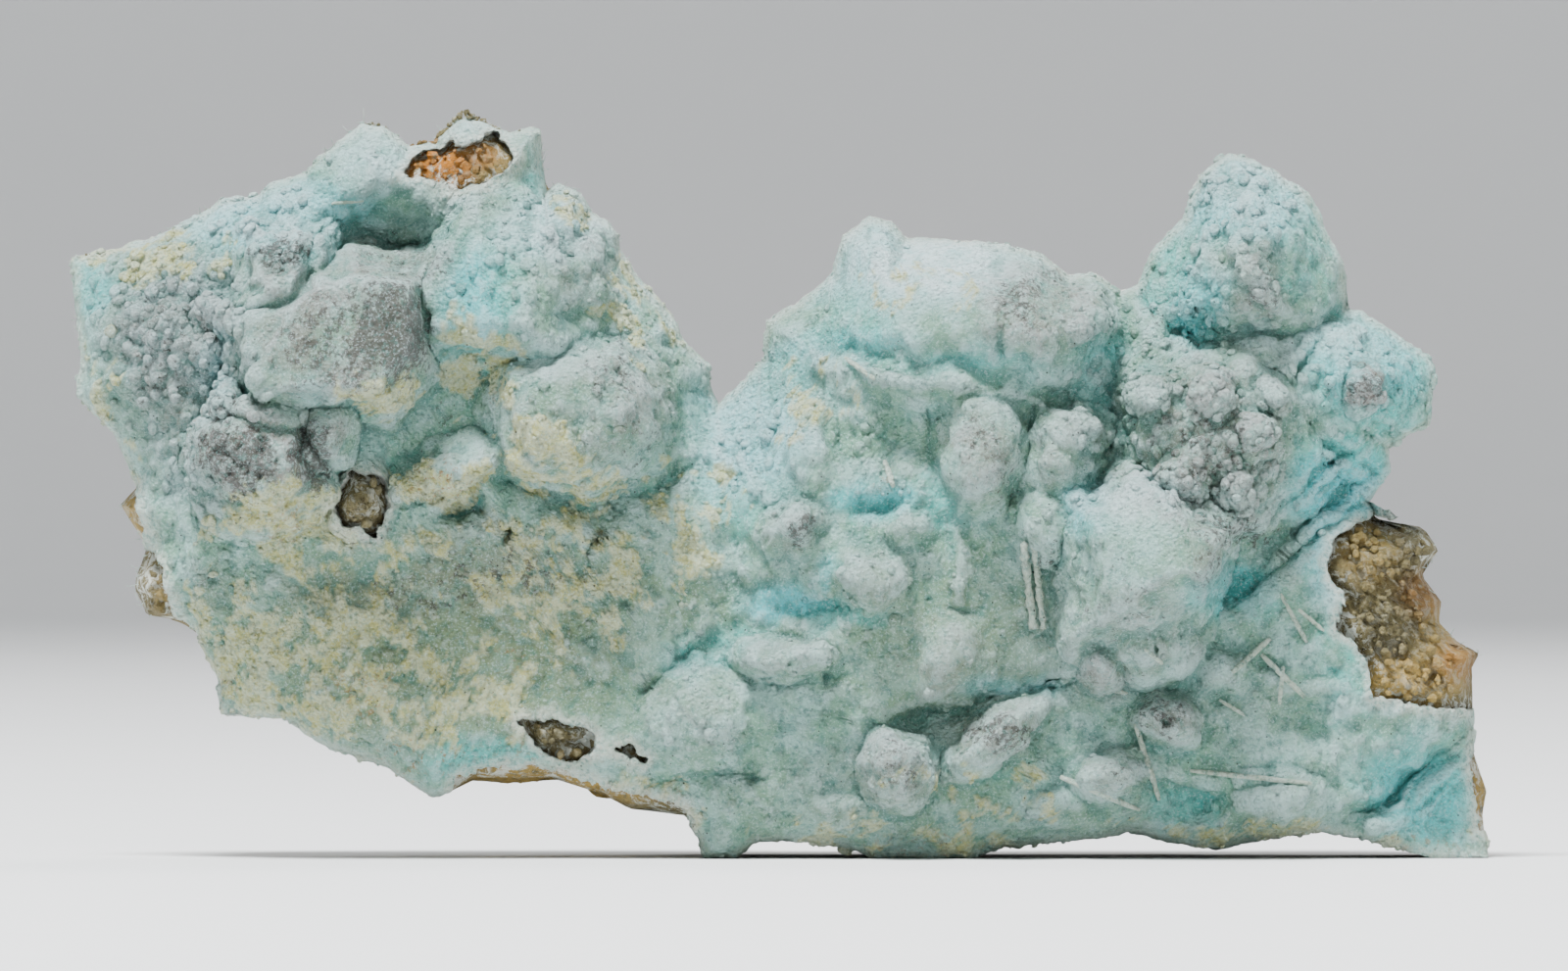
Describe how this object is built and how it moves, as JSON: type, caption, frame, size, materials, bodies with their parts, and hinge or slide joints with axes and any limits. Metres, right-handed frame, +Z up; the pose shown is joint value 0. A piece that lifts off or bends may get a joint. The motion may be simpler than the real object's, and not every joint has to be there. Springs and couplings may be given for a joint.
{
  "type": "aurichalcite specimen",
  "caption": "Natural cabinet specimen: a lumpy blue-green aurichalcite crust over a broken block of limonite, standing upright on its lower edge.",
  "frame": {"origin": "below the middle of the specimen, at the level of the surface that it stands on", "axes": "+Z up, +X along the specimen to the right, -Y out of the crusted front"},
  "size_m": [0.1443, 0.0496, 0.0756],
  "materials": {
    "aurichalcite": "matte, silky",
    "limonite": "earthy, granular"
  },
  "bodies": {
    "root": {"aurichalcite_crust": "aurichalcite", "limonite_matrix": "limonite"}
  },
  "joints": []
}
